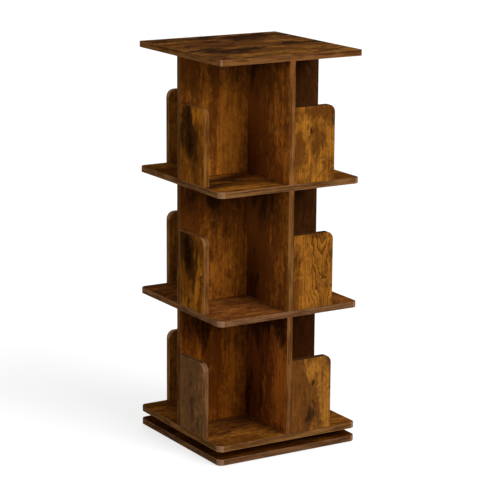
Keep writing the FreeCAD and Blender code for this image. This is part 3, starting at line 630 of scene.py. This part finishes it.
TOP_SPOTS = (
    ("stain", -0.150, -0.051, 0.036, 0.034, 0.50), ("stain", 0.080, 0.150, 0.160, 0.040, 0.40),
    ("stain", -0.030, -0.050, 0.070, 0.030, 0.30), ("stain", 0.000, 0.060, 0.090, 0.040, 0.30),
    ("stain", 0.080, -0.020, 0.060, 0.024, 0.30), ("shade", -0.030, 0.040, 0.200, 0.170, 0.30),
)
SHELVES = {
    "bottom_shelf": {
        "seed": 5.3, "shading": 0.12, "tint": (0.86, 0.82, 0.84), "band_tint": (0.88, 0.92, 0.96),
        "spots": (("stain", 0.02, 0.02, 0.10, 0.06, 0.16), ("stain", -0.16, -0.10, 0.09, 0.06, 0.24)),
    },
    "lower_shelf": {
        "seed": 8.9, "shading": 0.14, "tint": (0.98, 0.90, 1.3), "band_tint": (0.88, 0.96, 1.42),
        "bold": 0.9, "spots": (("stain", 0.02, -0.10, 0.12, 0.06, 0.12),),
    },
    "upper_shelf": {
        "seed": 12.7, "shading": 0.12, "tint": (0.95, 0.90, 0.9), "band_tint": (0.85, 0.90, 1.1),
        "spots": (("stain", -0.08, -0.04, 0.08, 0.05, 0.16), ("stain", -0.16, -0.09, 0.07, 0.06, 0.30)),
    },
}
# On the long uprights the stain and shade spots 0.15 m along, at the top end, are painted shade under
# the shelf above
LONG_UPRIGHTS = {
    "upper": {
        "shading": -0.06, "tint": (1.36, 1.20, 1.06),
        "spots": (
            ("stain", 0.0, 0.170, 0.90, 0.100, 0.56), ("shade", 0.0, 0.170, 0.90, 0.110, 0.54),
            ("stain", 0.150, -0.05, 0.085, 0.130, 0.22), ("shade", 0.0, -0.180, 0.20, 0.040, 0.34),
            ("shade", 0.150, -0.07, 0.090, 0.200, 0.12), ("shade", 0.02, -0.105, 0.16, 0.014, 0.36),
            ("shade", 0.0, -0.040, 0.20, 0.030, -0.10),
        ),
    },
    "middle": {
        "shading": 0.0, "tint": (1.22, 1.05, 0.92),
        "spots": (
            ("stain", 0.0, 0.170, 0.90, 0.100, 0.60), ("shade", 0.0, 0.170, 0.90, 0.110, 0.60),
            ("stain", 0.150, -0.08, 0.080, 0.180, 0.30), ("stain", 0.05, -0.10, 0.14, 0.020, 0.18),
            ("shade", 0.150, -0.08, 0.090, 0.200, 0.30), ("shade", 0.0, -0.180, 0.20, 0.050, 0.20),
        ),
    },
    "lower": {
        "shading": 0.04, "tint": (0.92, 0.70, 0.50),
        "spots": (
            ("stain", 0.0, 0.170, 0.90, 0.100, 0.66), ("shade", 0.0, 0.170, 0.90, 0.110, 0.60),
            ("stain", 0.150, -0.08, 0.085, 0.200, 0.34), ("stain", 0.085, -0.125, 0.060, 0.010, 0.30),
            ("shade", 0.100, -0.180, 0.10, 0.030, 0.24), ("shade", 0.03, -0.100, 0.20, 0.022, 0.30),
            ("shade", 0.0, -0.046, 0.20, 0.026, -0.12),
        ),
    },
}
# On the front uprights the spots 0.13 to 0.16 m along, at the top end, are painted shade under the
# shelf above, and the broad shade spot beside the inner corner darkens the print toward that corner as
# painted corner shade
FRONT_UPRIGHTS = {
    "upper": {
        "bold": 0.9, "tint": (1.14, 0.96, 0.88), "band_tint": (1.02, 0.92, 0.82),
        "spots": (
            ("shade", 0.0, 0.06, 0.26, 0.080, 0.32), ("stain", 0.134, 0.066, 0.075, 0.066, 0.38),
            ("stain", 0.160, -0.05, 0.030, 0.060, 0.30),
        ),
    },
    "middle": {
        "bold": 1.0, "tint": (1.0, 0.86, 0.8), "band_tint": (0.94, 0.96, 0.86),
        "spots": (
            ("shade", 0.0, 0.05, 0.26, 0.080, 0.36), ("stain", -0.06, 0.05, 0.12, 0.030, 0.20),
            ("stain", 0.150, 0.04, 0.080, 0.130, 0.40),
        ),
    },
    "lower": {
        "bold": 1.3, "tint": (0.86, 0.62, 0.60), "band_tint": (0.76, 0.72, 0.70),
        "spots": (
            ("shade", 0.0, 0.07, 0.26, 0.070, 0.40), ("stain", 0.02, 0.08, 0.20, 0.030, 0.24),
            ("stain", 0.145, 0.00, 0.085, 0.200, 0.44), ("shade", 0.0, -0.060, 0.13, 0.036, -0.34),
            ("stain", 0.108, -0.070, 0.022, 0.008, 0.40),
        ),
    },
}
FRONT_DIVIDERS = {
    "upper": {
        "shading": 0.04, "figure": 0.12, "knots": 0.12, "bold": 1.6, "tint": (1.03, 1.03, 0.94),
        "spots": (
            ("shade", 0.078, -0.010, 0.018, 0.050, 0.30), ("shade", 0.064, 0.044, 0.034, 0.016, 0.36),
            ("shade", -0.014, -0.044, 0.036, 0.018, 0.40), ("stain", 0.036, -0.010, 0.010, 0.004, 0.30),
            ("shade", 0.006, 0.004, 0.020, 0.026, 0.26),
        ),
    },
    "middle": {
        "shading": -0.10, "figure": 1.35, "knots": 0.0, "bold": 1.0, "tint": (0.94, 0.90, 0.86),
        "spots": (
            ("shade", 0.088, 0.010, 0.010, 0.030, 0.40), ("shade", 0.0, -0.056, 0.12, 0.012, 0.30),
        ),
    },
    "lower": {
        "shading": 0.04, "figure": 0.12, "knots": 0.1, "bold": 1.4, "tint": (1.04, 1.09, 1.29),
        "spots": (
            ("shade", 0.000, -0.050, 0.160, 0.050, 0.30), ("stain", -0.010, -0.004, 0.050, 0.016, 0.22),
            ("stain", -0.066, -0.014, 0.050, 0.026, 0.12), ("stain", 0.030, 0.006, 0.009, 0.004, 0.56),
        ),
    },
}
LEFT_DIVIDERS = {
    "upper": {
        "bold": 1.7, "tint": (1.32, 1.24, 0.88), "band_tint": (0.98, 0.95, 0.70), "wear": 0.0,
        "spots": (
            ("stain", 0.050, 0.022, 0.066, 0.034, 0.46), ("stain", -0.006, 0.010, 0.056, 0.030, 0.40),
            ("shade", 0.020, 0.010, 0.120, 0.060, 0.34), ("stain", 0.064, 0.018, 0.030, 0.011, 0.50),
            ("stain", 0.000, 0.006, 0.030, 0.014, 0.40),
        ),
    },
    "middle": {
        "bold": 1.8, "tint": (1.24, 1.18, 0.80), "band_tint": (0.90, 0.86, 0.85), "wear": 0.12,
        "spots": (
            ("stain", 0.058, 0.028, 0.052, 0.042, 0.70), ("stain", 0.010, 0.006, 0.040, 0.030, 0.54),
            ("shade", 0.020, 0.020, 0.110, 0.050, 0.24), ("stain", 0.046, 0.020, 0.026, 0.014, 0.50),
            ("shade", 0.020, 0.030, 0.080, 0.018, 0.44),
        ),
    },
    "lower": {
        "bold": 1.0, "tint": (1.22, 1.60, 3.4), "band_tint": (0.76, 0.82, 1.15), "wear": 0.16,
        "spots": (
            ("stain", 0.010, -0.010, 0.100, 0.030, 0.26), ("shade", 0.04, 0.016, 0.14, 0.08, 0.44),
        ),
    },
}


# One operator for each piece or group of like pieces

class PieceOperator:
    """What every operator here shares."""

    bl_options = {"REGISTER"}

    def execute(self, context):
        self.finish(context.scene.bookcase_look)
        return {"FINISHED"}


class BOOKCASE_OT_prepare(PieceOperator, Operator):
    """Build the shared print, banding, outline, plate and plastic effects"""

    bl_idname = "bookcase.prepare"
    bl_label = "Shared effects"

    def finish(self, look):
        for make in GROUPS:
            make()


class BOOKCASE_OT_base(PieceOperator, Operator):
    """Finish the base panel that stands on the floor"""

    bl_idname = "bookcase.base"
    bl_label = "Base panel"

    def finish(self, look):
        # The face's dark tint is painted shade: it darkens the base's top where it shows in the gap
        # under the bottom shelf
        board_material(
            "base_panel", GRAIN_X, 3.1, look, stain=0.06, shading=0.14, tint=(0.42, 0.34, 0.28),
            band_tint=(0.63, 0.66, 0.98), radius=SHELF_CORNER,
        )


class BOOKCASE_OT_pads(PieceOperator, Operator):
    """Finish the rubber pads under the base"""

    bl_idname = "bookcase.pads"
    bl_label = "Foot pads"

    def finish(self, look):
        finish_nodes(moulded_material("Pad rubber", look.fittings.pad), "foot_pads")


class BOOKCASE_OT_swivel(PieceOperator, Operator):
    """Finish the swivel: plates, rivet, screws, ball cage and balls"""

    bl_idname = "bookcase.swivel"
    bl_label = "Swivel"

    def finish(self, look):
        fittings = look.fittings
        plate = plated_material("Swivel plate", fittings.zinc, 420.0)
        finish_nodes(plate, "swivel_lower_plate", "swivel_upper_plate", "swivel_pivot_rivet")
        screw = plated_material("Swivel screw", fittings.zinc, 900.0)
        finish_nodes(screw, "swivel_lower_screws", "swivel_upper_screws")
        finish_nodes(plated_material("Ball steel", fittings.steel, 60.0, -0.16), "swivel_balls")
        finish_nodes(moulded_material("Ball cage", fittings.cage), "swivel_ball_cage")


class BOOKCASE_OT_shelves(PieceOperator, Operator):
    """Finish the three shelves"""

    bl_idname = "bookcase.shelves"
    bl_label = "Shelves"

    def finish(self, look):
        for name, settings in SHELVES.items():
            board_material(name, GRAIN_X, look=look, radius=SHELF_CORNER, **settings)


class BOOKCASE_OT_top(PieceOperator, Operator):
    """Finish the top panel"""

    bl_idname = "bookcase.top"
    bl_label = "Top panel"

    def finish(self, look):
        board_material(
            "top_panel", GRAIN_X, 17.2, look, spots=TOP_SPOTS, stain=0.06, shading=0.08, figure=0.2,
            bold=2.0, tint=(0.81, 0.89, 1.40), band_tint=(0.84, 0.80, 0.80), radius=TOP_CORNER,
        )


class BOOKCASE_OT_uprights(PieceOperator, Operator):
    """Finish the crossed uprights of every tier"""

    bl_idname = "bookcase.uprights"
    bl_label = "Uprights"

    def finish(self, look):
        for step, tier in enumerate(TIERS):
            seed = 21.0 + step * 4.7
            board_material(
                tier + "_long_upright", GRAIN_Z, seed, look, bold=0.9, band_tint=(0.6, 0.6, 0.6),
                wear=0.1, **LONG_UPRIGHTS[tier],
            )
            board_material(
                tier + "_front_upright", GRAIN_Z, seed + 1.3, look, shading=0.10, wear=0.2,
                **FRONT_UPRIGHTS[tier],
            )
            board_material(tier + "_back_upright", GRAIN_Z, seed + 2.9, look, shading=0.06)


class BOOKCASE_OT_dividers(PieceOperator, Operator):
    """Finish the half-height dividers of every tier"""

    bl_idname = "bookcase.dividers"
    bl_label = "Dividers"

    def finish(self, look):
        for step, tier in enumerate(TIERS):
            seed = 41.0 + step * 5.9
            self.divider(
                tier + "_front_divider", 1, seed, look, heart=0.024, band_tint=(0.34, 0.32, 0.4),
                wear=0.0, **FRONT_DIVIDERS[tier],
            )
            self.divider(
                tier + "_left_divider", -1, seed + 1.1, look, shading=0.02, **LEFT_DIVIDERS[tier],
            )
            self.divider(tier + "_back_divider", -1, seed + 2.3, look)
            self.divider(tier + "_right_divider", 1, seed + 3.7, look)

    def divider(self, node, outer, seed, look, **settings):
        """One divider. Outer is the sign of its rounded corner's direction across the grain."""
        board_material(
            node, GRAIN_Z, seed, look, radius=DIVIDER_CORNER, free_corner=(outer, 1), **settings
        )


class BOOKCASE_OT_fixings(PieceOperator, Operator):
    """Finish the cam locks, cover caps, connecting bolts and dowels"""

    bl_idname = "bookcase.fixings"
    bl_label = "Fixings"

    def finish(self, look):
        fittings = look.fittings
        for material, ending in (
            (plated_material("Cast zinc", fittings.cast, 700.0, 0.12), "_cam_locks"),
            (moulded_material("Cover cap", fittings.cap, gloss=0.05), "_cam_caps"),
            (plated_material("Bolt steel", fittings.zinc, 800.0), "_bolts"),
            (self.beech(fittings.beech), "_dowels"),
        ):
            finish_nodes(material, *nodes_ending(ending))

    def beech(self, tone):
        """Bare beech: short dark flecks on a pale, faintly streaked ground."""
        material, tree, shader, point = new_material("Beech")
        x, y, z = parts_of(tree, point)
        streak = noise(tree, x * 240.0, y * 240.0, z * 60.0, 3.0)
        fleck = noise(tree, x * 900.0, y * 900.0, z * 220.0, 1.0).step(0.62, 0.74)
        feed(tree, shader.inputs["Base Color"], shade(tree, tone, 0.84 + streak * 0.3 - fleck * 0.25))
        feed(tree, shader.inputs["Roughness"], 0.55 + streak * 0.2)
        shader.inputs["Specular IOR Level"].default_value = DULL
        raise_relief(tree, shader, streak - fleck * 0.4, BEECH_RELIEF)
        return material


def nodes_ending(ending):
    """The CAD nodes whose names end so; none is an error."""
    found = sorted(name for name in NODES if name.endswith(ending))
    if not found:
        raise RuntimeError("no node ends in " + ending)
    return found


class BOOKCASE_OT_stage(PieceOperator, Operator):
    """Set up the pale floor, the soft lights and the camera"""

    bl_idname = "bookcase.stage"
    bl_label = "Stage"

    def finish(self, look):
        studio = look.studio
        self.world(studio)
        self.floor(studio)
        self.lights(studio)
        self.camera(studio)
        bpy.context.scene.view_settings.view_transform = "Standard"

    def shown(self, tree):
        """1 for rays that show the background: to the camera, in gloss and through glass."""
        path = tree.nodes.new("ShaderNodeLightPath")
        names = ("Is Camera Ray", "Is Glossy Ray", "Is Transmission Ray")
        camera, glossy, transmission = (Field(tree, path.outputs[name]) for name in names)
        return camera.max(glossy).max(transmission)

    def world(self, studio):
        """White where it is seen, and a plain even light where it is not."""
        world = bpy.data.worlds.new("Studio")
        bpy.context.scene.world = world
        world.use_nodes = True
        tree = world.node_tree
        background = tree.nodes["Background"]
        background.inputs["Color"].default_value = (1, 1, 1, 1)
        strength = self.shown(tree) * (1.0 - studio.ambient) + studio.ambient
        feed(tree, background.inputs["Strength"], strength)

    def floor(self, studio):
        """A pale floor that is white to the camera but keeps the bookcase's shadow."""
        half = studio.floor_half
        corners = [(-half, -half, 0), (half, -half, 0), (half, half, 0), (-half, half, 0)]
        mesh = bpy.data.meshes.new("Floor")
        mesh.from_pydata(corners, [], [(0, 1, 2, 3)])
        floor = bpy.data.objects.new("Floor", mesh)
        bpy.context.scene.collection.objects.link(floor)
        material = bpy.data.materials.new("Floor")
        material.use_nodes = True
        tree = material.node_tree
        tree.nodes.clear()
        matt = tree.nodes.new("ShaderNodeBsdfDiffuse")
        matt.inputs["Color"].default_value = (studio.floor_tone,) * 3 + (1,)
        lift = tree.nodes.new("ShaderNodeEmission")
        feed(tree, lift.inputs["Strength"], self.shown(tree) * studio.floor_lift)
        both = tree.nodes.new("ShaderNodeAddShader")
        result = tree.nodes.new("ShaderNodeOutputMaterial")
        tree.links.new(matt.outputs[0], both.inputs[0])
        tree.links.new(lift.outputs[0], both.inputs[1])
        tree.links.new(both.outputs[0], result.inputs["Surface"])
        mesh.materials.append(material)

    def lights(self, studio):
        """Wide soft lights: one from the front right, weaker ones from the left and from behind.

        Each stands in the direction given from the bookcase and shines back along it.
        """
        for name, level, towards in (
            ("Key", studio.key, (0.34, -0.84, 0.62)),
            ("Fill", studio.fill, (-0.90, -0.25, 0.30)),
            ("Back", studio.rim, (0.45, 0.75, 0.45)),
        ):
            lamp = bpy.data.lights.new(name, "SUN")
            lamp.angle = studio.softness
            lamp.energy = level * FULL_SUN
            light = bpy.data.objects.new(name, lamp)
            light.location = Vector(towards) * LAMP_DISTANCE
            light.rotation_mode = "QUATERNION"
            light.rotation_quaternion = Vector(towards).to_track_quat("Z", "Y")
            bpy.context.scene.collection.objects.link(light)

    def camera(self, studio):
        """The photograph's point of view, with no shift and no depth of field."""
        forward = Vector((
            math.sin(studio.yaw) * math.cos(studio.pitch),
            math.cos(studio.yaw) * math.cos(studio.pitch),
            -math.sin(studio.pitch),
        ))
        right = Vector((math.cos(studio.yaw), -math.sin(studio.yaw), 0))
        down = forward.cross(right)
        turned_right = right * math.cos(studio.roll) + down * math.sin(studio.roll)
        turned_up = right * math.sin(studio.roll) - down * math.cos(studio.roll)
        lens = bpy.data.cameras.new("Camera")
        lens.lens = studio.focal
        lens.sensor_width = SENSOR_WIDTH
        lens.clip_start, lens.clip_end = CLIP_NEAR, CLIP_FAR
        camera = bpy.data.objects.new("Camera", lens)
        turn = Matrix((turned_right, turned_up, -forward)).transposed().to_4x4()
        camera.matrix_world = Matrix.Translation(Vector(studio.eye)) @ turn
        bpy.context.scene.collection.objects.link(camera)
        bpy.context.scene.camera = camera


# In the order in which main runs them
PIECES = (
    BOOKCASE_OT_prepare, BOOKCASE_OT_base, BOOKCASE_OT_pads, BOOKCASE_OT_swivel,
    BOOKCASE_OT_shelves, BOOKCASE_OT_top, BOOKCASE_OT_uprights, BOOKCASE_OT_dividers,
    BOOKCASE_OT_fixings, BOOKCASE_OT_stage,
)


class BOOKCASE_PT_pieces(Panel):
    """Lists every piece and its settings in the sidebar"""

    bl_idname = "BOOKCASE_PT_pieces"
    bl_label = "Revolving bookcase"
    bl_space_type = "VIEW_3D"
    bl_region_type = "UI"
    bl_category = "Bookcase"

    def draw(self, context):
        look = context.scene.bookcase_look
        for operator in PIECES:
            self.layout.operator(operator.bl_idname)
        for group in (look.board, look.band, look.fittings, look.studio):
            box = self.layout.box()
            for name in group.bl_rna.properties.keys():
                if name not in ("rna_type", "name"):
                    box.prop(group, name)


CLASSES = (BoardPrint, EdgeBand, Fittings, Studio, BookcaseLook, *PIECES, BOOKCASE_PT_pieces)


def register():
    for item in CLASSES:
        bpy.utils.register_class(item)
    bpy.types.Scene.bookcase_look = PointerProperty(type=BookcaseLook)


def unregister():
    del bpy.types.Scene.bookcase_look
    for item in reversed(CLASSES):
        bpy.utils.unregister_class(item)


def main():
    """Makes every piece in order."""
    register()
    for operator in PIECES:
        getattr(bpy.ops.bookcase, operator.bl_idname.split(".")[1])()


if __name__ == "__main__":
    main()
